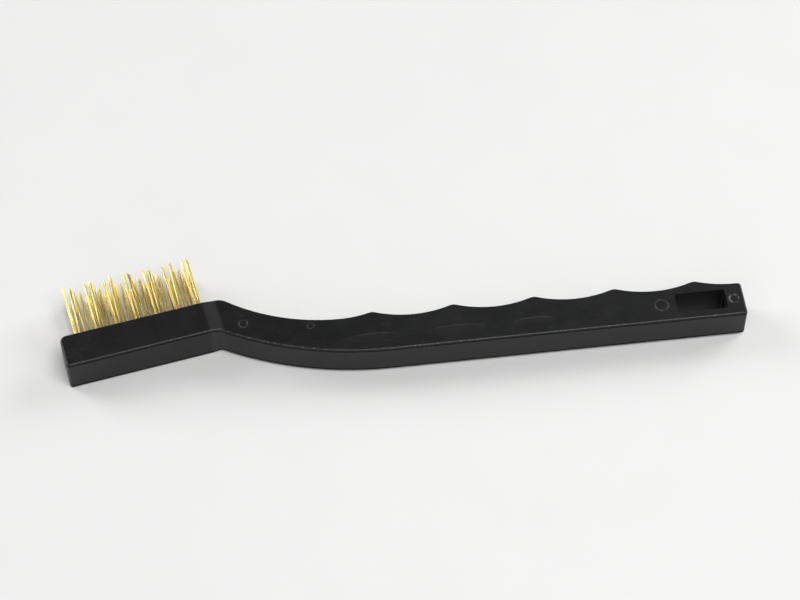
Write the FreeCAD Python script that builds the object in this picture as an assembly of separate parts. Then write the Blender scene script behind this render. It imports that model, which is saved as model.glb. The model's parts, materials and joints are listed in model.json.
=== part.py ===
import FreeCAD, Part
import math
import os
from FreeCAD import Vector

# A small scratch brush with brass tufts, lying on its side. The back edge of the grip runs along X,
# the tufts point to +Y, the hanging end is at +X, the head is at -X and +Z is the handle's thickness.
# All sizes are in millimetres. "Along" counts from the hanging end towards the head, "rise" counts
# from the straight back edge towards the tufts. On the head, "run" counts from the neck corner
# towards the tip and "lift" counts from the head's back edge towards the tufts.

# Handle, seen from the side
OVERALL_LENGTH = 175.0
BACK_STRAIGHT = 92.0
BACK_BEND_RADIUS = 87.0
NECK_CORNER_ALONG = 134.5
HEAD_TILT = math.radians(10.0)
HEAD_HEIGHT = 9.5
TIP_ROUND = 1.8

# Finger scallops on the tuft side of the grip
CUSP_COUNT = 5
FIRST_CUSP_ALONG = 12.0
LAST_CUSP_ALONG = 95.5
FIRST_CUSP_RISE = 11.8
LAST_CUSP_RISE = 12.3
SCALLOP_DEPTH = 2.0
NECK_VALLEY_ALONG = 103.5
NECK_VALLEY_RISE = 11.0
NECK_BEND_RADIUS = 50.5

# Corner rounds of the outline
SHOULDER_ROUND = 4.0
NECK_CORNER_ROUND = 1.0
TIP_BACK_ROUND = 0.8
CUSP_ROUND = 2.5
END_TUFT_SIDE_ROUND = 1.0
END_BACK_ROUND = 0.7

# Thickness: the head is thicker than the grip, and a sloped band on each side joins them
HEAD_THICKNESS = 10.0
GRIP_THICKNESS = 9.0
BAND_START_RUN = -0.8
BAND_END_RUN = 2.2
RIM_ROUND = 0.5

# Hanging slot, right through the grip
SLOT_START_ALONG = 4.7
SLOT_LENGTH = 13.0
SLOT_START_RISE = 2.1
SLOT_WIDTH = 5.9
SLOT_CORNER_ROUND = 0.3

# Tuft holes and tufts
OUTER_ROW_COUNT = 7
MIDDLE_ROW_COUNT = 6
FIRST_TUFT_RUN = 3.3
TUFT_PITCH = 5.2
ROW_SPACING = 3.0
HOLE_RADIUS = 0.85
HOLE_DEPTH = 6.5
TUFT_FREE_LENGTH = 16.4
TUFT_TIP_RADIUS = 1.27
TUFT_TIP_CROWN = 0.3
FOLD_ROUND = 0.5

# Flat metal anchors that hold the folded wires in their holes
ANCHOR_WIDTH = 2.1
ANCHOR_HEIGHT = 1.5
ANCHOR_THICKNESS = 0.3
ANCHOR_ABOVE_BOTTOM = 1.0
ANCHOR_LEAD_CHAMFER = 0.3

# How far a cutting tool stands past the face that it cuts
CUT_MARGIN = 1.0
# Two points nearer than this are the same corner
SAME_PLACE = 0.01

MID_Z = HEAD_THICKNESS / 2
NECK_CORNER_RISE = BACK_BEND_RADIUS - math.sqrt(
    BACK_BEND_RADIUS ** 2 - (NECK_CORNER_ALONG - BACK_STRAIGHT) ** 2)
# The furthest point of the tip is on its tuft-side round, which sets the head's length
HEAD_LENGTH = TIP_ROUND + (
    OVERALL_LENGTH - NECK_CORNER_ALONG - TIP_ROUND
    - (HEAD_HEIGHT - TIP_ROUND) * math.sin(HEAD_TILT)) / math.cos(HEAD_TILT)
# Directions on the head: towards the tip, and out of the face that holds the tufts
RUN_DIRECTION = Vector(-math.cos(HEAD_TILT), -math.sin(HEAD_TILT), 0)
LIFT_DIRECTION = Vector(-math.sin(HEAD_TILT), math.cos(HEAD_TILT), 0)


def side_point(along, rise, z=0.0):
    """A point given by its distances from the hanging end and from the back edge."""
    return Vector(-along, rise, z)


def head_point(run, lift, z=0.0):
    """A point given by its distances along and across the tilted head."""
    corner = side_point(NECK_CORNER_ALONG, NECK_CORNER_RISE, z)
    return corner + RUN_DIRECTION * run + LIFT_DIRECTION * lift


def line(start, end):
    return Part.LineSegment(start, end).toShape()


def arc_about(centre, start, end):
    """The shorter arc about a centre."""
    radius = (start - centre).Length
    towards_middle = (start - centre) + (end - centre)
    middle = centre + towards_middle.normalize() * radius
    return Part.Arc(start, middle, end).toShape()


def shoulder_point(neck_centre):
    """Where the neck's arc meets the line of the face that holds the tufts."""
    face_start = head_point(0, HEAD_HEIGHT)
    from_centre = face_start - neck_centre
    half_b = RUN_DIRECTION.dot(from_centre)
    c = from_centre.dot(from_centre) - NECK_BEND_RADIUS ** 2
    return face_start + RUN_DIRECTION * (math.sqrt(half_b ** 2 - c) - half_b)


def cusp_points():
    """The tips between the finger scallops, from the hanging end to the neck."""
    points = []
    for index in range(CUSP_COUNT):
        part = index / (CUSP_COUNT - 1)
        along = FIRST_CUSP_ALONG + part * (LAST_CUSP_ALONG - FIRST_CUSP_ALONG)
        rise = FIRST_CUSP_RISE + part * (LAST_CUSP_RISE - FIRST_CUSP_RISE)
        points.append(side_point(along, rise))
    return points


def end_scallop_centre(first_cusp, second_cusp):
    """Centre of the part scallop that runs off the hanging end, with the full scallops' radius."""
    half_chord = (second_cusp - first_cusp).Length / 2
    radius = (half_chord ** 2 + SCALLOP_DEPTH ** 2) / (2 * SCALLOP_DEPTH)
    return first_cusp + Vector(half_chord, radius - SCALLOP_DEPTH, 0)


def handle_outline():
    """The handle's closed outline with sharp corners, and each corner with its round."""
    end_back = side_point(0, 0)
    bend_start = side_point(BACK_STRAIGHT, 0)
    bend_centre = side_point(BACK_STRAIGHT, BACK_BEND_RADIUS)
    neck_corner = head_point(0, 0)
    tip_back = head_point(HEAD_LENGTH, 0)
    tip_front = head_point(HEAD_LENGTH, HEAD_HEIGHT)
    valley = side_point(NECK_VALLEY_ALONG, NECK_VALLEY_RISE)
    neck_centre = valley + Vector(0, NECK_BEND_RADIUS, 0)
    shoulder = shoulder_point(neck_centre)
    cusps = cusp_points()
    last_cusp = cusps[-1]
    last_reach = valley - last_cusp
    last_radius = last_reach.dot(last_reach) / (2 * -last_reach.y)
    end_centre = end_scallop_centre(cusps[0], cusps[1])
    end_radius = (cusps[0] - end_centre).Length
    end_front = Vector(0, end_centre.y - math.sqrt(end_radius ** 2 - end_centre.x ** 2), 0)

    edges = [
        line(end_back, bend_start),
        arc_about(bend_centre, bend_start, neck_corner),
        line(neck_corner, tip_back),
        line(tip_back, tip_front),
        line(tip_front, shoulder),
        arc_about(neck_centre, shoulder, valley),
        arc_about(valley + Vector(0, last_radius, 0), valley, last_cusp),
    ]
    for start, end in zip(reversed(cusps), reversed(cusps[:-1])):
        lowest = (start + end) / 2 - Vector(0, SCALLOP_DEPTH, 0)
        edges.append(Part.Arc(start, lowest, end).toShape())
    edges.append(arc_about(end_centre, cusps[0], end_front))
    edges.append(line(end_front, end_back))

    rounds = [
        (end_back, END_BACK_ROUND),
        (neck_corner, NECK_CORNER_ROUND),
        (tip_back, TIP_BACK_ROUND),
        (tip_front, TIP_ROUND),
        (shoulder, SHOULDER_ROUND),
        (end_front, END_TUFT_SIDE_ROUND),
    ]
    rounds += [(cusp, CUSP_ROUND) for cusp in cusps]
    return Part.Wire(edges), rounds


def round_upright_edge(solid, corner, radius):
    """Round the edge that stands on a corner of the outline."""
    for edge in solid.Edges:
        bottom = min((vertex.Point for vertex in edge.Vertexes), key=lambda point: point.z)
        upright = abs(edge.Length - HEAD_THICKNESS) < SAME_PLACE
        if upright and (bottom - corner).Length < SAME_PLACE:
            return solid.makeFillet(radius, [edge])
    raise ValueError("no upright edge at %s" % corner)


def grip_relief():
    """What is cut from one side of the blank so that the grip is thinner than the head."""
    step = (HEAD_THICKNESS - GRIP_THICKNESS) / 2
    past_end = -OVERALL_LENGTH
    reach = OVERALL_LENGTH / 2
    corners = [
        (past_end, HEAD_THICKNESS - step),
        (BAND_START_RUN, HEAD_THICKNESS - step),
        (BAND_END_RUN, HEAD_THICKNESS),
        (BAND_END_RUN, HEAD_THICKNESS + CUT_MARGIN),
        (past_end, HEAD_THICKNESS + CUT_MARGIN),
    ]
    section = Part.makePolygon([head_point(run, -reach, z) for run, z in corners + corners[:1]])
    return Part.Face(section).extrude(LIFT_DIRECTION * (2 * reach))


def is_wall(face):
    """True for the outline's walls, false for the faces that look up or down."""
    u_min, u_max, v_min, v_max = face.ParameterRange
    return abs(face.normalAt((u_min + u_max) / 2, (v_min + v_max) / 2).z) < 0.5


def rim_edges(solid):
    """The edges between the walls and the two sides of the handle."""
    chosen = []
    for edge in solid.Edges:
        walls = [is_wall(face) for face in solid.ancestorsOfType(edge, Part.Face)]
        if len(walls) == 2 and walls[0] != walls[1]:
            chosen.append(edge)
    return chosen


def hanging_slot():
    """The slot's cutter, with its corners rounded."""
    low = side_point(SLOT_START_ALONG + SLOT_LENGTH, SLOT_START_RISE, -CUT_MARGIN)
    height = HEAD_THICKNESS + 2 * CUT_MARGIN
    cutter = Part.makeBox(SLOT_LENGTH, SLOT_WIDTH, height, low)
    upright = [edge for edge in cutter.Edges if abs(edge.Length - height) < SAME_PLACE]
    return cutter.makeFillet(SLOT_CORNER_ROUND, upright)


def tuft_places():
    """Name, run and height of every tuft: three rows, with the middle row half a pitch on."""
    rows = [
        ("lower", OUTER_ROW_COUNT, 0.0, -ROW_SPACING),
        ("middle", MIDDLE_ROW_COUNT, TUFT_PITCH / 2, 0.0),
        ("upper", OUTER_ROW_COUNT, 0.0, ROW_SPACING),
    ]
    places = []
    for row, count, shift, offset in rows:
        for index in range(count):
            run = FIRST_TUFT_RUN + shift + index * TUFT_PITCH
            places.append(("%s_%d" % (row, index + 1), run, MID_Z + offset))
    return places


def hole_bottom(run, z):
    return head_point(run, HEAD_HEIGHT - HOLE_DEPTH, z)


def tuft_hole(run, z):
    return Part.makeCylinder(HOLE_RADIUS, HOLE_DEPTH + CUT_MARGIN, hole_bottom(run, z), LIFT_DIRECTION)


def anchor(run, z):
    """A flat plate across the hole, square to the head's length, with both ends in the plastic."""
    half = ANCHOR_WIDTH / 2
    bottom = HEAD_HEIGHT - HOLE_DEPTH + ANCHOR_ABOVE_BOTTOM
    top = bottom + ANCHOR_HEIGHT
    corners = [
        (-half, top),
        (-half, bottom + ANCHOR_LEAD_CHAMFER),
        (-half + ANCHOR_LEAD_CHAMFER, bottom),
        (half - ANCHOR_LEAD_CHAMFER, bottom),
        (half, bottom + ANCHOR_LEAD_CHAMFER),
        (half, top),
    ]
    low_run = run - ANCHOR_THICKNESS / 2
    outline = [head_point(low_run, lift, z + across) for across, lift in corners + corners[:1]]
    return Part.Face(Part.makePolygon(outline)).extrude(RUN_DIRECTION * ANCHOR_THICKNESS)


def wire_bundle(run, z):
    """The outer shape of one bundle of folded wires: round at the fold, wider at the cut ends."""
    fold = FOLD_ROUND * (1 - math.sqrt(0.5))
    fold_side = Vector(HOLE_RADIUS, 0, FOLD_ROUND)
    mouth = Vector(HOLE_RADIUS, 0, HOLE_DEPTH)
    top = Vector(0, 0, HOLE_DEPTH + TUFT_FREE_LENGTH)
    tip_rim = Vector(TUFT_TIP_RADIUS, 0, top.z - TUFT_TIP_CROWN)
    crown_radius = (TUFT_TIP_RADIUS ** 2 + TUFT_TIP_CROWN ** 2) / (2 * TUFT_TIP_CROWN)
    edges = [
        line(Vector(0, 0, 0), Vector(HOLE_RADIUS - FOLD_ROUND, 0, 0)),
        Part.Arc(
            Vector(HOLE_RADIUS - FOLD_ROUND, 0, 0),
            Vector(HOLE_RADIUS - fold, 0, fold),
            fold_side).toShape(),
        line(fold_side, mouth),
        line(mouth, tip_rim),
        arc_about(top - Vector(0, 0, crown_radius), tip_rim, top),
        line(top, Vector(0, 0, 0)),
    ]
    bundle = Part.Face(Part.Wire(edges)).revolve(Vector(0, 0, 0), Vector(0, 0, 1), 360)
    upright_to_lift = FreeCAD.Rotation(Vector(0, 0, 1), LIFT_DIRECTION)
    bundle.Placement = FreeCAD.Placement(hole_bottom(run, z), upright_to_lift)
    return bundle


def handle(holes, anchors):
    """The one-piece moulding: grip, neck and head, with its slot and the holes for the tufts."""
    outline, rounds = handle_outline()
    body = Part.Face(outline).extrude(Vector(0, 0, HEAD_THICKNESS))
    for corner, radius in rounds:
        body = round_upright_edge(body, corner, radius)
    upper_relief = grip_relief()
    lower_relief = upper_relief.mirror(Vector(0, 0, MID_Z), Vector(0, 0, 1))
    body = body.cut([upper_relief, lower_relief])
    body = body.makeFillet(RIM_ROUND, rim_edges(body))
    return body.cut([hanging_slot()] + holes + anchors)


def build_nodes():
    """Every separate piece of the brush, by its name."""
    places = tuft_places()
    anchors = {name: anchor(run, z) for name, run, z in places}
    holes = [tuft_hole(run, z) for _, run, z in places]
    nodes = {"handle": handle(holes, list(anchors.values()))}
    for name, run, z in places:
        nodes["tuft_" + name] = wire_bundle(run, z).cut(anchors[name])
        nodes["anchor_" + name] = anchors[name]
    return nodes


def main():
    os.makedirs("parts", exist_ok=True)
    nodes = build_nodes()
    box = Part.makeCompound(list(nodes.values())).optimalBoundingBox(False, False)
    to_origin = Vector(-box.Center.x, -box.Center.y, -box.ZMin)
    print("size %.3f x %.3f x %.3f, moved by %s" % (box.XLength, box.YLength, box.ZLength, to_origin))
    for name, shape in nodes.items():
        shape.translate(to_origin)
        solid = shape.Solids[0]
        assert len(shape.Solids) == 1 and solid.isValid(), name
        solid.exportStep("parts/%s.step" % name)
        print("%-20s volume %9.2f mm3" % (name, solid.Volume))


main()
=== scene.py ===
"""A small brass scratch brush that lies on its side on a pale floor.

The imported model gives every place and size. The handle and the tufts are modelled again round it in
fine detail, and the anchors inside the head keep their own shape. Everything is in metres.
"""
import json
import logging
import math
import random
from collections.abc import Callable, Iterator
from contextlib import contextmanager
from dataclasses import dataclass, field
from enum import Enum

import bmesh
import bpy
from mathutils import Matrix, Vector

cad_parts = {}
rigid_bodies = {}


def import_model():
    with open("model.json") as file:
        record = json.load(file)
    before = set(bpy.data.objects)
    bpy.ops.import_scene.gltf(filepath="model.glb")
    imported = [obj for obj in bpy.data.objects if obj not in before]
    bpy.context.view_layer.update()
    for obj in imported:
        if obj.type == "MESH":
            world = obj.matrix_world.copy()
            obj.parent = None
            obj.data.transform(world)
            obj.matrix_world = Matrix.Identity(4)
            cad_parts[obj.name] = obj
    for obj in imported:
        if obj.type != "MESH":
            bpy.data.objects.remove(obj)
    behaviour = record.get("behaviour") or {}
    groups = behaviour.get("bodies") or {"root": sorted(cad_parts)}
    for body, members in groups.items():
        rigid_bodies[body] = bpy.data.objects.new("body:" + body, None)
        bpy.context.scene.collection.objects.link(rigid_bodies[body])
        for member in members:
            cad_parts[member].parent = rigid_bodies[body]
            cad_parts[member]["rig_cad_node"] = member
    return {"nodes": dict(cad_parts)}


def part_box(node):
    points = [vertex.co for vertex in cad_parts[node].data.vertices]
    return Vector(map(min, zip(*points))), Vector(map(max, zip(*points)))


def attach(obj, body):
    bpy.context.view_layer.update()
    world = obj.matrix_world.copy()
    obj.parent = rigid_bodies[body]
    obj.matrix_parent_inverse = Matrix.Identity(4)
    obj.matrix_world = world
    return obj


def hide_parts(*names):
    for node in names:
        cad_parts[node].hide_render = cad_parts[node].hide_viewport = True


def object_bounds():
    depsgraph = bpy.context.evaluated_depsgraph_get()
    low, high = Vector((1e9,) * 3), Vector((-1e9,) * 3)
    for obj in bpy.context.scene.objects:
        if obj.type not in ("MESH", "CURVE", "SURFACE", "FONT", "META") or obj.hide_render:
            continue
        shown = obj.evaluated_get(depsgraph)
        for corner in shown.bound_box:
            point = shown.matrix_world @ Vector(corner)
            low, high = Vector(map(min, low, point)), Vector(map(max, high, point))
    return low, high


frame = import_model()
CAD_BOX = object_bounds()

LOG = logging.getLogger("brush")
MM = 0.001
# How much lower the grip's side lies than the head's side
GRIP_STEP = 0.5 * MM
UP = Vector((0.0, 0.0, 1.0))
ROOT_BODY = "root"
# Points nearer than this are one point
MERGE_DISTANCE = 0.002 * MM


class Slot(Enum):
    """The record's material slots."""

    HANDLE = "handle_plastic"
    WIRE = "brass_wire"
    ANCHOR = "anchor_metal"


class Row(Enum):
    """The three rows of tufts, with the number of tufts in each."""

    LOWER = ("lower", 7)
    MIDDLE = ("middle", 6)
    UPPER = ("upper", 7)

    def places(self) -> list[str]:
        """The names of the row's places, from the neck to the tip."""
        row, count = self.value
        return [f"{row}_{index + 1}" for index in range(count)]


# ---------------------------------------------------------------- hand tools


def pick(*objects: bpy.types.Object) -> None:
    """Select these objects and nothing else. The first one becomes the active one.

    Args:
        objects: What the next operator acts on.
    """
    bpy.ops.object.select_all(action="DESELECT")
    for item in objects:
        item.select_set(True)
    bpy.context.view_layer.objects.active = objects[0]


@contextmanager
def editing(piece: bpy.types.Object) -> Iterator[None]:
    """Edit mode on one piece, with nothing selected in it at the start.

    Args:
        piece: The mesh object to shape.
    """
    pick(piece)
    bpy.ops.object.mode_set(mode="EDIT")
    bpy.ops.mesh.select_all(action="DESELECT")
    yield
    bpy.ops.object.mode_set(mode="OBJECT")


def select_faces(piece: bpy.types.Object, wanted: Callable[[Vector, Vector], bool]) -> int:
    """Select the faces of the piece in edit mode whose middle and normal suit.

    Args:
        piece: The mesh object in edit mode.
        wanted: Tells from a face's middle and normal if it is selected.

    Returns:
        How many faces are selected.
    """
    bpy.ops.mesh.select_mode(type="FACE")
    mesh = bmesh.from_edit_mesh(piece.data)
    count = 0
    for face in mesh.faces:
        chosen = wanted(face.calc_center_median(), face.normal)
        face.select_set(chosen)
        count += chosen
    bmesh.update_edit_mesh(piece.data)
    return count


def apply_modifier(piece: bpy.types.Object, kind: str, **settings: object) -> None:
    """Add a modifier with its settings and apply it at once.

    Args:
        piece: The mesh object to finish.
        kind: The modifier's type.
        settings: The modifier's own properties.
    """
    modifier = piece.modifiers.new(kind.lower(), kind)
    for name, value in settings.items():
        setattr(modifier, name, value)
    pick(piece)
    bpy.ops.object.modifier_apply(modifier=modifier.name)


def smoothstep(low: float, high: float, value: float) -> float:
    """Zero below low, one above high, and a smooth rise between them."""
    share = min(1.0, max(0.0, (value - low) / (high - low)))
    return share * share * (3.0 - 2.0 * share)


def box_centre(node: str) -> Vector:
    """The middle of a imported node's box."""
    low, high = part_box(node)
    return (low + high) / 2.0


# ---------------------------------------------------------------- finishes


class Graph:
    """A material's node tree, written one node at a time."""

    def __init__(self, name: str) -> None:
        """Make an empty tree with its output.

        Args:
            name: The material's name.
        """
        self.material = bpy.data.materials.new(name)
        self.material.use_nodes = True
        self.tree = self.material.node_tree
        self.tree.nodes.clear()
        self.output = self.tree.nodes.new("ShaderNodeOutputMaterial")

    def feed(self, socket: bpy.types.NodeSocket, value: object) -> None:
        """Link another socket into this one, or set its value.

        Args:
            socket: The input to fill.
            value: An output socket, a number, a colour or a vector.
        """
        if isinstance(value, bpy.types.NodeSocket):
            self.tree.links.new(value, socket)
        else:
            socket.default_value = value

    def add(self, kind: str, inputs: dict | None = None, **settings: object) -> bpy.types.Node:
        """Add a node, set its properties and fill its inputs.

        Args:
            kind: The node's type.
            inputs: Input name or number to value or socket.
            settings: The node's own properties.

        Returns:
            The new node.
        """
        node = self.tree.nodes.new(kind)
        for name, value in settings.items():
            setattr(node, name, value)
        for key, value in (inputs or {}).items():
            self.feed(node.inputs[key], value)
        return node

    def place(self) -> bpy.types.NodeSocket:
        """The surface point, in the object's own coordinates."""
        return self.add("ShaderNodeTexCoord").outputs["Object"]

    def stretched(self, scale: tuple[float, float, float]) -> bpy.types.NodeSocket:
        """The surface point with each axis scaled, for grain and scratches that run one way."""
        return self.add("ShaderNodeMapping", {"Vector": self.place(), "Scale": scale}).outputs[0]

    def along(self, direction: Vector, start: Vector) -> bpy.types.NodeSocket:
        """The distance along a direction, counted from a start point.

        Args:
            direction: A unit vector.
            start: The point where the distance is zero.

        Returns:
            The distance in metres.
        """
        dot = self.add("ShaderNodeVectorMath", {0: self.place(), 1: direction}, operation="DOT_PRODUCT")
        return self.math("SUBTRACT", dot.outputs["Value"], direction.dot(start))

    def distance(
        self, point: Vector, squash: tuple[float, float, float] = (1.0, 1.0, 1.0)
    ) -> bpy.types.NodeSocket:
        """The distance from a point, with each axis scaled by the squash.

        Args:
            point: The point where the distance is zero.
            squash: The scale of each axis.

        Returns:
            The distance, in metres where the squash is one.
        """
        scaled_point = Vector(point[axis] * squash[axis] for axis in range(3))
        node = self.add(
            "ShaderNodeVectorMath", {0: self.stretched(squash), 1: scaled_point}, operation="DISTANCE")
        return node.outputs["Value"]

    def math(self, operation: str, first: object, second: object = 0.0) -> bpy.types.NodeSocket:
        """One sum of two numbers."""
        return self.add("ShaderNodeMath", {0: first, 1: second}, operation=operation).outputs[0]

    def noise(self, scale: float, detail: float = 2.0, vector: object = None) -> bpy.types.NodeSocket:
        """Soft noise from zero to one.

        Args:
            scale: Blotches per metre.
            detail: Octaves.
            vector: The coordinates, or None for the object's own.

        Returns:
            The noise value.
        """
        inputs = {"Vector": vector or self.place(), "Scale": scale, "Detail": detail}
        return self.add("ShaderNodeTexNoise", inputs).outputs["Fac"]

    def ramp(
        self, value: object, low: float, high: float, start: float = 0.0, end: float = 1.0
    ) -> bpy.types.NodeSocket:
        """A smooth step from start to end while the value goes from low to high.

        Args:
            value: What drives the step.
            low: The value where the step begins.
            high: The value where the step ends.
            start: The result up to low.
            end: The result from high on.

        Returns:
            The stepped value.
        """
        inputs = {"Value": value, "From Min": low, "From Max": high, "To Min": start, "To Max": end}
        node = self.add("ShaderNodeMapRange", inputs, interpolation_type="SMOOTHSTEP")
        return node.outputs["Result"]

    def colours(self, factor: object, first: object, second: object) -> bpy.types.NodeSocket:
        """A colour between two colours.

        Args:
            factor: Zero for the first colour, one for the second.
            first: A colour or a socket.
            second: A colour or a socket.

        Returns:
            The mixed colour.
        """
        node = self.add("ShaderNodeMix", data_type="RGBA")
        self.feed(node.inputs[0], factor)
        self.feed(node.inputs[6], first)
        self.feed(node.inputs[7], second)
        return node.outputs[2]

    def bump(
        self, height: object, depth: float, strength: float = 1.0, under: object = None
    ) -> bpy.types.NodeSocket:
        """A bumped normal.

        Args:
            height: The relief from zero to one.
            depth: The relief's full depth in metres.
            strength: How much of it is used.
            under: A normal that this relief lies on, if any.

        Returns:
            The normal.
        """
        inputs = {"Height": height, "Distance": depth, "Strength": strength}
        if under is not None:
            inputs["Normal"] = under
        return self.add("ShaderNodeBump", inputs).outputs["Normal"]

    def shade(self, inputs: dict) -> bpy.types.Material:
        """End the tree in one principled shader.

        Args:
            inputs: The shader's inputs by name.

        Returns:
            The finished material.
        """
        shader = self.add("ShaderNodeBsdfPrincipled", inputs)
        self.tree.links.new(shader.outputs[0], self.output.inputs["Surface"])
        return self.material


def grey(level: float) -> tuple[float, float, float, float]:
    """A neutral colour."""
    return (level, level, level, 1.0)


@dataclass(frozen=True)
class MouldedPlastic:
    """Satin black plastic, as it comes out of the mould and out of a box of its fellows, with highlights
    painted on its rims, pin rings and sink marks and on the band behind the head.
    """

    deep: tuple[float, float, float, float] = (0.0058, 0.0060, 0.0064, 1.0)
    cloudy: tuple[float, float, float, float] = (0.0110, 0.0114, 0.0120, 1.0)
    # The pale colour of wear, also used for the highlights painted on the rims, pin rings, sink marks and
    # sloped band
    wear_and_highlight: tuple[float, float, float, float] = (0.150, 0.146, 0.142, 1.0)
    dust: tuple[float, float, float, float] = (0.20, 0.195, 0.18, 1.0)
    gloss: float = 0.32
    refraction: float = 1.49
    # Noise scales, in blotches per metre, and the noise levels between which each mark comes up
    blotch_scale: float = 260.0
    cloud_levels: tuple[float, float] = (0.35, 0.72)
    speckle_scale: float = 5200.0
    speckle_levels: tuple[float, float] = (0.20, 0.80)
    rim_speck_scale: float = 1500.0
    rim_speck_levels: tuple[float, float] = (0.56, 0.64)
    ring_break_scale: float = 1100.0
    ring_break_levels: tuple[float, float] = (0.42, 0.60)
    tip_scuff_scale: float = 1400.0
    tip_scuff_levels: tuple[float, float] = (0.55, 0.66)
    scratch_stretch: tuple[float, float, float] = (110.0, 3600.0, 3600.0)
    scratch_levels: tuple[float, float] = (0.62, 0.70)
    dust_scale: float = 1900.0
    dust_levels: tuple[float, float] = (0.745, 0.78)
    wave_scale: float = 150.0
    # How far the normal points up where the pale rim, a painted highlight with specks of wear, begins and
    # ends
    rim_begins: tuple[float, float] = (0.50, 0.72)
    rim_ends: tuple[float, float] = (0.90, 0.985)
    ring_reach: tuple[float, float] = (0.12 * MM, 0.40 * MM)
    sink_edge: tuple[float, float] = (0.84, 1.0)
    # Runs from the neck corner, minus towards the grip
    grip_run: tuple[float, float] = (-55.0 * MM, -12.0 * MM)
    band_begins: tuple[float, float] = (-1.4 * MM, -0.6 * MM)
    band_ends: tuple[float, float] = (1.9 * MM, 2.9 * MM)
    tip_run: tuple[float, float] = (27.0 * MM, 37.0 * MM)
    # How much of the pale colour of wear and painted highlight, and of the dusty colour, each mark takes
    band_scuff_and_sheen_share: float = 0.18
    tip_scuff_share: float = 0.09
    scratch_share: float = 0.05
    rim_wear_and_highlight_share: float = 0.60
    ring_highlight_share: float = 0.90
    # lightens the inside of the sink marks, a painted reflection
    sink_sheen_share: float = 0.014
    dust_share: float = 0.28
    smooth_rough: tuple[float, float] = (0.34, 0.41)
    scuffed_roughness: float = 0.10
    dusty_roughness: float = 0.25
    grain_depth: float = 0.010 * MM
    wave_depth: float = 0.08 * MM
    sink_depth: float = 0.05 * MM
    scratch_depth: float = 0.005 * MM

    def rim_wear_and_highlight(self, graph: Graph) -> bpy.types.NodeSocket:
        """A faint pale line painted as a highlight on the rounds between sides and walls, with small bright
        specks of wear.

        Args:
            graph: The tree to write in.

        Returns:
            The mask.
        """
        normal = graph.add("ShaderNodeNewGeometry").outputs["Normal"]
        upright = graph.math("ABSOLUTE", graph.add("ShaderNodeSeparateXYZ", {0: normal}).outputs["Z"])
        rim = graph.math(
            "MULTIPLY", graph.ramp(upright, *self.rim_begins), graph.ramp(upright, *self.rim_ends, 1.0, 0.0))
        # the floor of 0.22 leaves a continuous painted highlight line between the specks of wear
        specks = graph.ramp(graph.noise(self.rim_speck_scale, 4.0), *self.rim_speck_levels, 0.22, 1.0)
        return graph.math("MULTIPLY", rim, specks)

    def ring_highlight(self, graph: Graph, marks: "tuple[PinMark, ...]") -> bpy.types.NodeSocket:
        """Pale broken rings, highlights painted on the edges of the mould's pin marks.

        Args:
            graph: The tree to write in.
            marks: The pin marks.

        Returns:
            The mask.
        """
        broken = graph.ramp(graph.noise(self.ring_break_scale, 3.0), *self.ring_break_levels)
        total: object = 0.0
        for mark in marks:
            from_line = graph.math("SUBTRACT", graph.distance(mark.centre()), mark.radius)
            ring = graph.ramp(graph.math("ABSOLUTE", from_line), *self.ring_reach, mark.edge_highlight, 0.0)
            total = graph.math("MAXIMUM", total, ring)
        return graph.math("MULTIPLY", total, broken)

    def sink_relief(self, graph: Graph, dents: "tuple[Dent, ...]") -> bpy.types.NodeSocket:
        """The crisp outline of the sink marks, from one outside them to zero inside.

        Args:
            graph: The tree to write in.
            dents: The sink marks.

        Returns:
            The relief.
        """
        total: object = 1.0
        for dent in dents:
            reach = graph.distance(dent.centre(), (1.0 / dent.half_length, 1.0 / dent.half_width, 0.0))
            total = graph.math("MINIMUM", total, graph.ramp(reach, *self.sink_edge))
        return total

    def material(self, head: "HeadFrame", handle: "Handle") -> bpy.types.Material:
        """Make the material.

        Args:
            head: The tilted head, for the sloped band behind it.
            handle: The handle, for its pin marks and sink marks.

        Returns:
            The plastic.
        """
        graph = Graph("satin_black_plastic")
        blotches = graph.noise(self.blotch_scale, 4.0)
        speckle = graph.noise(self.speckle_scale, 3.0)
        run = graph.along(head.run, head.neck)
        on_grip = graph.ramp(run, *self.grip_run, 0.62, 0.0)
        cloud = graph.math("ADD", on_grip, graph.ramp(blotches, *self.cloud_levels, 0.0, 0.38))
        body = graph.colours(cloud, self.deep, self.cloudy)

        behind = graph.ramp(run, *self.band_begins)
        before = graph.ramp(run, *self.band_ends, 1.0, 0.0)
        on_band = graph.math("MULTIPLY", behind, before)
        # The speckled band behind the head is coloured lighter: a frosty scuffed texture, and a painted
        # reflection of the band's slope
        band_scuff_and_sheen = graph.math("MULTIPLY", on_band, graph.ramp(speckle, *self.speckle_levels))
        blotted = graph.ramp(graph.noise(self.tip_scuff_scale, 4.0), *self.tip_scuff_levels)
        tip_scuffs = graph.math("MULTIPLY", graph.ramp(run, *self.tip_run), blotted)
        scratches = graph.noise(1.0, 3.0, graph.stretched(self.scratch_stretch))
        scratched = graph.ramp(scratches, *self.scratch_levels)
        dusty = graph.ramp(graph.noise(self.dust_scale, 1.0), *self.dust_levels)
        relief = self.sink_relief(graph, handle.dents)

        colour = body
        for mask, share in (
            # the band: frosty scuffs with a painted reflection
            (band_scuff_and_sheen, self.band_scuff_and_sheen_share),
            (tip_scuffs, self.tip_scuff_share),
            (scratched, self.scratch_share),
            # the rims: a painted highlight line with specks of wear
            (self.rim_wear_and_highlight(graph), self.rim_wear_and_highlight_share),
            # the pin marks: highlights painted on the groove edges
            (self.ring_highlight(graph, handle.pin_marks), self.ring_highlight_share),
            # inside the sink marks: a slight painted reflection, lighter than around them
            (graph.math("SUBTRACT", 1.0, relief), self.sink_sheen_share),
        ):
            colour = graph.colours(graph.math("MULTIPLY", mask, share), colour, self.wear_and_highlight)
        colour = graph.colours(graph.math("MULTIPLY", dusty, self.dust_share), colour, self.dust)

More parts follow.
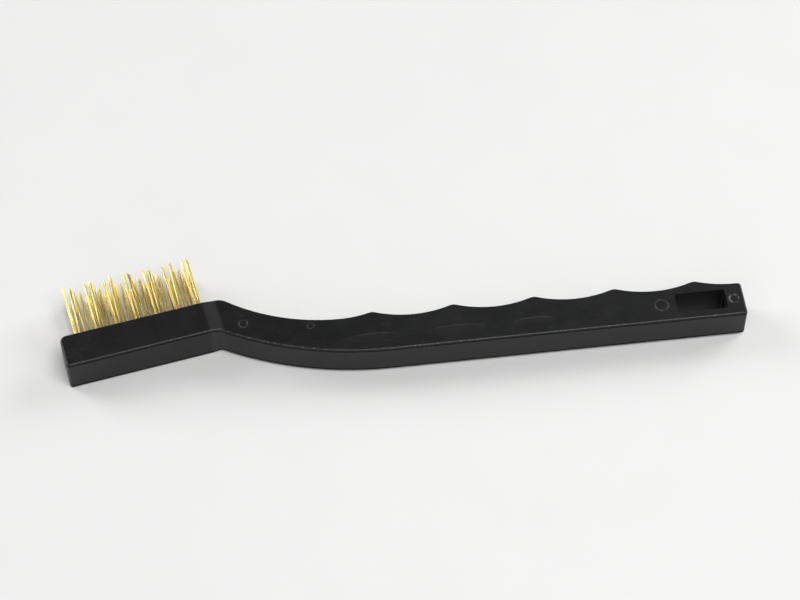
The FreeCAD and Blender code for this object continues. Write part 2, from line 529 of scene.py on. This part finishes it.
        roughness = graph.ramp(blotches, 0.25, 0.75, *self.smooth_rough)
        roughness = graph.math("ADD", roughness, graph.math("MULTIPLY", band_scuff_and_sheen, self.scuffed_roughness))
        roughness = graph.math("ADD", roughness, graph.math("MULTIPLY", dusty, self.dusty_roughness))

        grain = graph.bump(speckle, self.grain_depth, 0.4)
        waves = graph.bump(graph.noise(self.wave_scale, 2.0), self.wave_depth, 0.25, grain)
        sunk = graph.bump(relief, self.sink_depth, 1.0, waves)
        normal = graph.bump(scratched, self.scratch_depth, 0.5, sunk)
        return graph.shade({
            "Base Color": colour,
            "Roughness": roughness,
            "Specular IOR Level": self.gloss,
            "IOR": self.refraction,
            "Normal": normal,
        })


@dataclass(frozen=True)
class DrawnBrass:
    """Bright drawn brass wire, each wire a little different, and darker where it leaves the hole."""

    bright: tuple[float, float, float, float] = (0.95, 0.81, 0.34, 1.0)
    golden: tuple[float, float, float, float] = (0.84, 0.67, 0.23, 1.0)
    brown: tuple[float, float, float, float] = (0.20, 0.12, 0.035, 1.0)
    # Which share of the wires is dull, how brown the dullest is, and how far up the brown root reaches
    dull_wires: float = 0.26
    dull_share: float = 0.62
    root_height: float = 6.0 * MM
    root_share: float = 0.52
    drawn_stretch: tuple[float, float, float] = (900.0, 60.0, 900.0)
    smooth_rough: tuple[float, float] = (0.25, 0.32)
    drawn_depth: float = 0.004 * MM

    def material(self, head: "HeadFrame") -> bpy.types.Material:
        """Make the material.

        Args:
            head: The tilted head, for the height above its face.

        Returns:
            The brass.
        """
        graph = Graph("drawn_brass_wire")
        island = graph.add("ShaderNodeNewGeometry").outputs["Random Per Island"]
        height = graph.along(head.lift, head.face_point())
        colour = graph.colours(island, self.golden, self.bright)
        dull = graph.ramp(island, 0.0, self.dull_wires, self.dull_share, 0.0)
        root = graph.ramp(height, 0.0, self.root_height, self.root_share, 0.0)
        colour = graph.colours(graph.math("MAXIMUM", root, dull), colour, self.brown)
        drawn = graph.noise(1.0, 1.0, graph.stretched(self.drawn_stretch))
        return graph.shade({
            "Base Color": colour,
            "Metallic": 1.0,
            "Roughness": graph.ramp(drawn, 0.3, 0.7, *self.smooth_rough),
            "Normal": graph.bump(drawn, self.drawn_depth, 0.2),
        })


@dataclass(frozen=True)
class CutStrip:
    """Plain metal strip, sheared to length, with fine rolling lines along it."""

    clean: tuple[float, float, float, float] = (0.74, 0.56, 0.25, 1.0)
    dull: tuple[float, float, float, float] = (0.42, 0.30, 0.13, 1.0)
    line_stretch: tuple[float, float, float] = (700.0, 9000.0, 700.0)
    line_levels: tuple[float, float] = (0.3, 0.7)
    line_depth: float = 0.005 * MM
    smooth_rough: tuple[float, float] = (0.30, 0.48)

    def material(self) -> bpy.types.Material:
        """Make the material.

        Returns:
            The strip's brass.
        """
        graph = Graph("cut_brass_strip")
        lines = graph.noise(1.0, 3.0, graph.stretched(self.line_stretch))
        colour = graph.colours(graph.ramp(lines, *self.line_levels), self.dull, self.clean)
        normal = graph.bump(lines, self.line_depth, 0.6)
        return graph.shade({
            "Base Color": colour,
            "Metallic": 1.0,
            "Roughness": graph.ramp(lines, *self.line_levels, *self.smooth_rough),
            "Normal": normal,
        })


@dataclass(frozen=True)
class PaleFloor:
    """Smooth off-white board."""

    paper: tuple[float, float, float, float] = (0.80, 0.80, 0.795, 1.0)
    shade: tuple[float, float, float, float] = (0.77, 0.77, 0.765, 1.0)
    cloud_scale: float = 40.0
    roughness: float = 0.75

    def material(self) -> bpy.types.Material:
        """Make the material.

        Returns:
            The board.
        """
        graph = Graph("pale_board")
        colour = graph.colours(graph.noise(self.cloud_scale, 3.0), self.paper, self.shade)
        return graph.shade({"Base Color": colour, "Roughness": self.roughness})


# ---------------------------------------------------------------- the head's own axes


@dataclass(frozen=True)
class HeadFrame:
    """The tilted head: run goes to the tip, lift goes out of the face that holds the tufts."""

    neck: Vector
    run: Vector
    lift: Vector
    height: float

    @classmethod
    def from_anchors(cls) -> "HeadFrame":
        """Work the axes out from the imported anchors, which lie in straight rows inside the head.

        Returns:
            The head's axes, with the neck corner at run and lift zero.
        """
        first_run = 3.3 * MM
        anchor_lift = 4.75 * MM
        height = 9.5 * MM
        lower = Row.LOWER.places()
        upper = Row.UPPER.places()
        first = box_centre(f"anchor_{lower[0]}")
        run = (box_centre(f"anchor_{lower[-1]}") - first).normalized()
        lift = run.cross(UP).normalized()
        if lift.y < 0.0:
            lift.negate()
        middle_z = (first.z + box_centre(f"anchor_{upper[0]}").z) / 2.0
        neck = Vector((first.x, first.y, middle_z)) - run * first_run - lift * anchor_lift
        return cls(neck, run, lift, height)

    def point(self, run: float, lift: float, across: float = 0.0) -> Vector:
        """A point by its run, its lift and its distance from the middle of the thickness."""
        return self.neck + self.run * run + self.lift * lift + UP * across

    def face_point(self) -> Vector:
        """The point over the neck corner on the face that holds the tufts."""
        return self.point(0.0, self.height)

    def coordinates(self, place: Vector) -> tuple[float, float, float]:
        """Run, lift and distance from mid thickness of a place."""
        offset = place - self.neck
        return offset.dot(self.run), offset.dot(self.lift), offset.z


# ---------------------------------------------------------------- the handle


def grip_place(along: float, rise: float) -> Vector:
    """A point on the grip's upper side, by its distances from the hanging end and the straight back."""
    low, high = CAD_BOX
    return Vector((high.x - along, low.y + rise, high.z - GRIP_STEP))


@dataclass(frozen=True)
class Dent:
    """A long shallow sink mark on the side of the grip."""

    along: float
    rise: float
    half_length: float
    half_width: float
    depth: float

    def centre(self) -> Vector:
        """The mark's middle on the upper side."""
        return grip_place(self.along, self.rise)

    def depth_at(self, along: float, rise: float) -> float:
        """How deep the mark is at a place on the side."""
        across = math.hypot((along - self.along) / self.half_length, (rise - self.rise) / self.half_width)
        return self.depth * (1.0 - smoothstep(0.5, 1.0, across))


@dataclass(frozen=True)
class PinMark:
    """The round groove that a mould pin leaves, and how bright the highlight painted on its edge is."""

    along: float
    rise: float
    radius: float
    edge_highlight: float

    def centre(self) -> Vector:
        """The mark's middle on the upper side."""
        return grip_place(self.along, self.rise)


@dataclass
class Handle:
    """The one-piece moulding, with the marks of its mould."""

    head: HeadFrame
    station_pitch: float = 1.0 * MM
    row_pitch: float = 0.4 * MM
    flat_angle: float = math.radians(0.2)
    smooth_angle: float = math.radians(32.0)
    band_start: float = -0.8 * MM
    band_end: float = 2.2 * MM
    half_thickness: float = 5.0 * MM
    seam_top: float = 0.52 * MM
    seam_bottom: float = 0.86 * MM
    seam_depth: float = 0.20 * MM
    groove_radius: float = 0.13 * MM
    groove_depth: float = 0.07 * MM
    groove_segments: tuple[int, int] = (40, 10)
    # How far a face's normal points up, at least on a side and at most on a wall
    side_facing: float = 0.98
    wall_facing: float = 0.1
    # A box round the hanging slot, by the distances from the hanging end and from the straight back
    slot_along: tuple[float, float] = (3.0 * MM, 20.0 * MM)
    slot_rise: tuple[float, float] = (1.5 * MM, 8.6 * MM)
    dents: tuple[Dent, ...] = (
        Dent(95.8 * MM, 3.8 * MM, 8.2 * MM, 1.6 * MM, 0.07 * MM),
        Dent(74.5 * MM, 3.9 * MM, 8.0 * MM, 1.5 * MM, 0.06 * MM),
        Dent(54.5 * MM, 4.1 * MM, 6.2 * MM, 1.2 * MM, 0.05 * MM),
    )
    pin_marks: tuple[PinMark, ...] = (
        # the last number of each mark is the strength of the highlight painted on its edge
        PinMark(128.5 * MM, 12.3 * MM, 1.1 * MM, 0.22),
        PinMark(111.5 * MM, 9.5 * MM, 0.9 * MM, 0.06),
        PinMark(2.7 * MM, 4.9 * MM, 1.2 * MM, 1.0),
        PinMark(21.5 * MM, 5.0 * MM, 1.7 * MM, 0.25),
    )
    piece: bpy.types.Object = field(init=False, default=None)

    def side_distances(self, place: Vector) -> tuple[float, float]:
        """Distance from the hanging end and from the straight back of a place."""
        low, high = CAD_BOX
        return high.x - place.x, place.y - low.y

    def copy_node(self) -> None:
        """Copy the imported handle, merge its loose triangles and join what is flat."""
        pick(frame["nodes"]["handle"])
        bpy.ops.object.duplicate()
        self.piece = bpy.context.active_object
        self.piece.name = "handle_moulding"
        del self.piece["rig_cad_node"]
        bpy.ops.mesh.customdata_custom_splitnormals_clear()
        with editing(self.piece):
            bpy.ops.mesh.select_all(action="SELECT")
            bpy.ops.mesh.remove_doubles(threshold=MERGE_DISTANCE)
            bpy.ops.mesh.dissolve_limited(angle_limit=self.flat_angle)

    def cut_stations(self) -> None:
        """Cut the moulding across its length, and its two sides lengthwise, into small even faces."""
        low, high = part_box("handle")
        with editing(self.piece):
            for index in range(1, int((high.x - low.x) / self.station_pitch)):
                bpy.ops.mesh.select_all(action="SELECT")
                at = (low.x + index * self.station_pitch, 0.0, 0.0)
                bpy.ops.mesh.bisect(plane_co=at, plane_no=(1.0, 0.0, 0.0), threshold=MERGE_DISTANCE)
            for index in range(1, int((high.y - low.y) / self.row_pitch)):
                select_faces(self.piece, lambda middle, normal: abs(normal.z) > self.side_facing)
                at = (0.0, low.y + index * self.row_pitch, 0.0)
                bpy.ops.mesh.bisect(plane_co=at, plane_no=(0.0, 1.0, 0.0), threshold=MERGE_DISTANCE)

    def press_dents(self) -> None:
        """Press the sink marks into both sides."""
        middle = self.head.neck.z
        for name, sign in (("upper_side", 1.0), ("lower_side", -1.0)):
            group = self.piece.vertex_groups.new(name=name)
            deepest = max(dent.depth for dent in self.dents)
            for vertex in self.piece.data.vertices:
                along, rise = self.side_distances(vertex.co)
                depth = sum(dent.depth_at(along, rise) for dent in self.dents)
                if depth > 0.0 and (vertex.co.z - middle) * sign > 0.0:
                    group.add([vertex.index], depth / deepest, "REPLACE")
            apply_modifier(
                self.piece, "DISPLACE", direction="Z", mid_level=0.0,
                strength=-sign * deepest, vertex_group=name)

    def below_side(self, place: Vector) -> float:
        """How far a place lies under the nearer side, which steps down behind the head.

        Args:
            place: A point on the outline.

        Returns:
            The depth in metres.
        """
        run, _, across = self.head.coordinates(place)
        share = min(1.0, max(0.0, (run - self.band_start) / (self.band_end - self.band_start)))
        return self.half_thickness - GRIP_STEP * (1.0 - share) - abs(across)

    def seam_planes(self, below: float, sign: float) -> list[tuple[float, float, Vector, Vector]]:
        """The planes that run at one depth below a side: under the grip, the sloped band and the head.

        Args:
            below: The depth below the side.
            sign: One for the upper side, minus one for the lower.

        Returns:
            For each plane the run where it starts and ends, a point on it and its normal.
        """
        on_grip = self.head.point(self.band_start, 0.0, sign * (self.half_thickness - GRIP_STEP - below))
        on_head = self.head.point(self.band_end, 0.0, sign * (self.half_thickness - below))
        slope = (on_head - on_grip).cross(self.head.lift).normalized()
        return [
            (-math.inf, self.band_start, on_grip, UP),
            (self.band_start, self.band_end, on_grip, slope),
            (self.band_end, math.inf, on_head, UP),
        ]

    def cut_seams(self) -> None:
        """Cut the fine groove of the mould round the outline, close under the rims of both sides."""
        with editing(self.piece):
            for run in (self.band_start, self.band_end):
                bpy.ops.mesh.select_all(action="SELECT")
                at = self.head.point(run, 0.0)
                bpy.ops.mesh.bisect(plane_co=at, plane_no=self.head.run, threshold=MERGE_DISTANCE)
            for sign in (1.0, -1.0):
                for below in (self.seam_top, self.seam_bottom):
                    for start, end, at, normal in self.seam_planes(below, sign):
                        select_faces(self.piece, lambda middle, facing: (
                            self.is_wall(middle, facing)
                            and start < self.head.coordinates(middle)[0] < end))
                        bpy.ops.mesh.bisect(plane_co=at, plane_no=normal, threshold=MERGE_DISTANCE)
            count = select_faces(self.piece, lambda middle, facing: (
                self.is_wall(middle, facing)
                and self.seam_top < self.below_side(middle) < self.seam_bottom))
            LOG.info("the seams have %d faces", count)
            bpy.ops.mesh.extrude_region()
            bpy.ops.transform.shrink_fatten(value=-self.seam_depth, use_even_offset=True)

    def is_wall(self, middle: Vector, facing: Vector) -> bool:
        """True for the outline's upright faces, false for the slot's."""
        return abs(facing.z) < self.wall_facing and not self.in_slot(middle)

    def in_slot(self, place: Vector) -> bool:
        """True for the walls of the hanging slot."""
        along, rise = self.side_distances(place)
        beside = self.slot_along[0] < along < self.slot_along[1]
        return beside and self.slot_rise[0] < rise < self.slot_rise[1]

    def stamp_pin_marks(self) -> None:
        """Cut the round grooves of the mould's pins into the upper side."""
        round_ring, round_groove = self.groove_segments
        for mark in self.pin_marks:
            centre = mark.centre() + UP * (self.groove_radius - self.groove_depth)
            bpy.ops.object.select_all(action="DESELECT")
            bpy.ops.mesh.primitive_torus_add(
                location=centre, major_radius=mark.radius, minor_radius=self.groove_radius,
                major_segments=round_ring, minor_segments=round_groove)
            cutter = bpy.context.active_object
            apply_modifier(self.piece, "BOOLEAN", operation="DIFFERENCE", solver="EXACT", object=cutter)
            bpy.data.objects.remove(cutter)

    def smooth(self) -> None:
        """Shade the rounds smooth and keep the flats flat."""
        pick(self.piece)
        bpy.ops.object.shade_smooth_by_angle(angle=self.smooth_angle)
        apply_modifier(self.piece, "WEIGHTED_NORMAL", keep_sharp=True)

    def build(self, plastic: bpy.types.Material) -> None:
        """Model the moulding and dress it.

        Args:
            plastic: The handle's material.
        """
        self.copy_node()
        self.cut_stations()
        self.press_dents()
        self.cut_seams()
        self.stamp_pin_marks()
        self.smooth()
        self.piece.data.materials.clear()
        self.piece.data.materials.append(plastic)
        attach(self.piece, ROOT_BODY)
        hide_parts("handle")


# ---------------------------------------------------------------- the tufts


@dataclass(frozen=True)
class Wire:
    """The wire, and how its bundles are folded, trimmed and splayed."""

    radius: float = 0.12 * MM
    spacing: float = 0.25 * MM
    packed_radius: float = 0.725 * MM
    anchor_clearance: float = 0.275 * MM
    hole_depth: float = 6.5 * MM
    anchor_bottom: float = 1.0 * MM
    under_anchor: float = 0.1 * MM
    fold_drop: float = 0.125 * MM
    longest: float = 16.3 * MM
    shortest: float = 14.2 * MM
    crown: float = 0.55 * MM
    ragged: float = 0.50 * MM
    leg_gap: float = 0.10 * MM
    leg_narrowing: float = 0.9
    splay_along: float = 0.6
    splay_across: float = 0.35
    tuft_lean: float = 0.20 * MM
    clump_lean: float = 0.17 * MM
    wander: float = 0.05 * MM
    stray_share: float = 0.05
    stray_reach: float = 0.55 * MM
    # The least height of a fold over the hole's bottom, in wire radii
    lowest_fold: float = 1.2
    smooth_angle: float = math.radians(65.0)


@dataclass
class Tuft:
    """One bundle of wires, each folded once under its anchor."""

    place: str
    head: HeadFrame
    wire: Wire
    draw: random.Random
    clumps: int = 5
    leans: list[Vector] = field(init=False, default_factory=list)
    piece: bpy.types.Object = field(init=False, default=None)

    def sideways(self, spread: float) -> Vector:
        """A small random step across the tuft."""
        return Vector((self.draw.gauss(0.0, spread), 0.0, self.draw.gauss(0.0, spread)))

    def bottom(self) -> Vector:
        """The middle of the bottom of the tuft's hole.

        Returns:
            The point, in the brush's own frame.
        """
        centre = box_centre(f"anchor_{self.place}")
        run, _, across = self.head.coordinates(centre)
        return self.head.point(run, self.head.height - self.wire.hole_depth, across)

    def fold_places(self) -> list[tuple[float, float]]:
        """Where the wires lie beside the anchor.

        Returns:
            For each wire its place along the anchor and its distance from the anchor's middle.
        """
        places = []
        out = self.wire.anchor_clearance
        while out < self.wire.packed_radius:
            half = math.sqrt(self.wire.packed_radius ** 2 - out ** 2)
            count = int(2.0 * half / self.wire.spacing) + 1
            for index in range(count):
                shift = index - (count - 1) / 2.0
                places.append((shift * self.wire.spacing, out))
            out += self.wire.spacing
        return places

    def strand(self, along: float, out: float, side: float) -> list[Vector]:
        """One leg of a folded wire, from beside the anchor to its cut end.

        Args:
            along: Place along the anchor, which lies across the head.
            out: Distance from the anchor's middle.
            side: One for the leg towards the tip, minus one for the leg towards the neck.

        Returns:
            Points given by their distance along the head, up the hole and across.
        """
        wire = self.wire
        mouth = Vector((side * (out + wire.leg_gap), wire.hole_depth, along * wire.leg_narrowing))
        turn = math.atan2(mouth.z, mouth.x) / math.tau + 0.5
        lean = self.leans[int(turn * self.clumps) % self.clumps] + self.sideways(wire.wander)
        if self.draw.random() < wire.stray_share:
            stray = Vector((self.draw.uniform(-1.0, 1.0), 0.0, self.draw.uniform(-0.5, 0.5)))
            lean += stray * wire.stray_reach
        bow = self.sideways(wire.wander)
        from_middle = math.hypot(mouth.x, mouth.z) / wire.packed_radius
        trimmed = wire.longest - wire.crown * from_middle ** 2 - abs(self.draw.gauss(0.0, wire.ragged))
        tip_length = max(wire.shortest, trimmed)
        beside = Vector((side * out, wire.anchor_bottom - wire.under_anchor, along))
        points = [beside, mouth]
        for share in (1.0 / 3.0, 2.0 / 3.0, 1.0):
            fanned_run = mouth.x * (1.0 + wire.splay_along * share)
            fanned_across = mouth.z * (1.0 + wire.splay_across * share)
            fanned = Vector((fanned_run, 0.0, fanned_across))
            arch = 4.0 * share * (1.0 - share)
            reach = fanned + lean * share + bow * arch
            points.append(Vector((reach.x, wire.hole_depth + tip_length * share, reach.z)))
        return points

    def folded_wire(self, along: float, out: float) -> list[Vector]:
        """One wire from cut end to cut end, round the fold under the anchor.

        Args:
            along: Place along the anchor.
            out: Distance from the anchor's middle.

        Returns:
            The points of the whole wire.
        """
        first = self.strand(along, out, 1.0)
        second = self.strand(along, out, -1.0)
        below_anchor = self.wire.anchor_bottom - out - self.wire.fold_drop
        deepest = max(self.wire.radius * self.wire.lowest_fold, below_anchor)
        fold = Vector((0.0, deepest, along))
        return first[::-1] + [fold] + second

    def build(self, brass: bpy.types.Material) -> None:
        """Draw every wire of the bundle as a bevelled line, and turn them into one mesh.

        Args:
            brass: The wires' material.
        """
        bottom = self.bottom()
        tuft_lean = self.sideways(self.wire.tuft_lean)
        self.leans = [tuft_lean + self.sideways(self.wire.clump_lean) for _ in range(self.clumps)]
        line = bpy.data.curves.new(f"wires_{self.place}", "CURVE")
        line.dimensions = "3D"
        line.bevel_depth = self.wire.radius
        line.bevel_resolution = 1
        line.use_fill_caps = True
        for along, out in self.fold_places():
            spline = line.splines.new("POLY")
            path = self.folded_wire(along, out)
            spline.points.add(len(path) - 1)
            for point, place in zip(spline.points, path):
                where = bottom + self.head.run * place.x + self.head.lift * place.y + UP * place.z
                point.co = (*where, 1.0)
        drawn = bpy.data.objects.new(f"wires_{self.place}", line)
        bpy.context.scene.collection.objects.link(drawn)
        pick(drawn)
        bpy.ops.object.convert(target="MESH")
        self.piece = bpy.context.active_object
        bpy.ops.object.shade_smooth_by_angle(angle=self.wire.smooth_angle)
        self.piece.data.materials.clear()
        self.piece.data.materials.append(brass)
        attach(self.piece, ROOT_BODY)
        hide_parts(f"tuft_{self.place}")


@dataclass
class BristleField:
    """All the tufts in the head, and the anchors that hold them."""

    head: HeadFrame
    wire: Wire = Wire()
    seed: int = 41
    tufts: list[Tuft] = field(default_factory=list)

    def build(self, brass: bpy.types.Material, strip: bpy.types.Material) -> None:
        """Model the tufts and dress the anchors.

        Args:
            brass: The wires' material.
            strip: The anchors' material.
        """
        draw = random.Random(self.seed)
        for row in Row:
            for place in row.places():
                tuft = Tuft(place, self.head, self.wire, random.Random(draw.random()))
                tuft.build(brass)
                self.tufts.append(tuft)
                anchor = frame["nodes"][f"anchor_{place}"]
                anchor.data.materials.clear()
                anchor.data.materials.append(strip)


# ---------------------------------------------------------------- the studio


@dataclass(frozen=True)
class SoftLight:
    """A large square light that looks at the brush."""

    name: str
    azimuth: float
    elevation: float
    distance: float
    size: float
    watts: float

    def build(self, target: Vector) -> None:
        """Hang the light.

        Args:
            target: What the light points at.
        """
        data = bpy.data.lights.new(self.name, "AREA")
        data.energy = self.watts
        data.size = self.size
        lamp = bpy.data.objects.new(self.name, data)
        bpy.context.scene.collection.objects.link(lamp)
        lamp.location = target + direction_from(self.azimuth, self.elevation) * self.distance
        lamp.rotation_mode = "QUATERNION"
        lamp.rotation_quaternion = (target - lamp.location).to_track_quat("-Z", "Y")


def direction_from(azimuth: float, elevation: float) -> Vector:
    """The way from the brush to a viewer or light.

    Args:
        azimuth: Degrees round the brush, zero in front of its straight back.
        elevation: Degrees above the floor.

    Returns:
        A unit vector.
    """
    turn, height = math.radians(azimuth), math.radians(elevation)
    flat = math.cos(height)
    return Vector((math.sin(turn) * flat, -math.cos(turn) * flat, math.sin(height)))


@dataclass(frozen=True)
class Studio:
    """A pale floor, soft light and the camera."""

    azimuth: float = -7.0
    elevation: float = 54.0
    distance: float = 0.65
    lens: float = 113.0
    world_strength: float = 0.14
    floor_size: float = 6.0
    lights: tuple[SoftLight, ...] = (
        SoftLight("key_light", 30.0, 66.0, 1.0, 0.6, 6.8),
        SoftLight("back_panel", 173.0, 50.0, 2.0, 2.2, 1.3),
        SoftLight("front_fill_light", -25.0, 28.0, 1.3, 0.8, 1.9),
        SoftLight("left_back_light", -122.0, 28.0, 1.0, 0.5, 4.2),
        SoftLight("right_back_light", 118.0, 28.0, 1.0, 0.5, 4.2),
    )

    def build(self) -> None:
        """Lay the floor, hang the lights and set the camera up."""
        low, high = CAD_BOX
        target = (low + high) / 2.0
        bpy.ops.object.select_all(action="DESELECT")
        bpy.ops.mesh.primitive_plane_add(size=self.floor_size, location=(target.x, target.y, low.z))
        floor = bpy.context.active_object
        floor.name = "floor"
        floor.data.materials.append(PaleFloor().material())
        for light in self.lights:
            light.build(target)
        world = bpy.data.worlds.new("studio")
        world.use_nodes = True
        world.node_tree.nodes["Background"].inputs["Color"].default_value = grey(1.0)
        world.node_tree.nodes["Background"].inputs["Strength"].default_value = self.world_strength
        bpy.context.scene.world = world
        bpy.context.scene.view_settings.view_transform = "Standard"
        data = bpy.data.cameras.new("camera")
        data.lens = self.lens
        camera = bpy.data.objects.new("camera", data)
        bpy.context.scene.collection.objects.link(camera)
        towards_camera = direction_from(self.azimuth, self.elevation)
        camera.location = target + towards_camera * self.distance
        camera.rotation_mode = "QUATERNION"
        camera.rotation_quaternion = (-towards_camera).to_track_quat("-Z", "Y")
        bpy.context.scene.camera = camera


def main() -> None:
    """Build the brush piece by piece, then its studio."""
    logging.basicConfig(level=logging.INFO, format="%(name)s: %(message)s")
    head = HeadFrame.from_anchors()
    handle = Handle(head)
    handle.build(MouldedPlastic().material(head, handle))
    LOG.info("handle has %d faces", len(handle.piece.data.polygons))
    bristles = BristleField(head)
    bristles.build(DrawnBrass().material(head), CutStrip().material())
    for tuft in bristles.tufts:
        LOG.info("%s has %d faces", tuft.piece.name, len(tuft.piece.data.polygons))
    Studio().build()
    LOG.info("studio is ready")


if __name__ == "__main__":
    main()
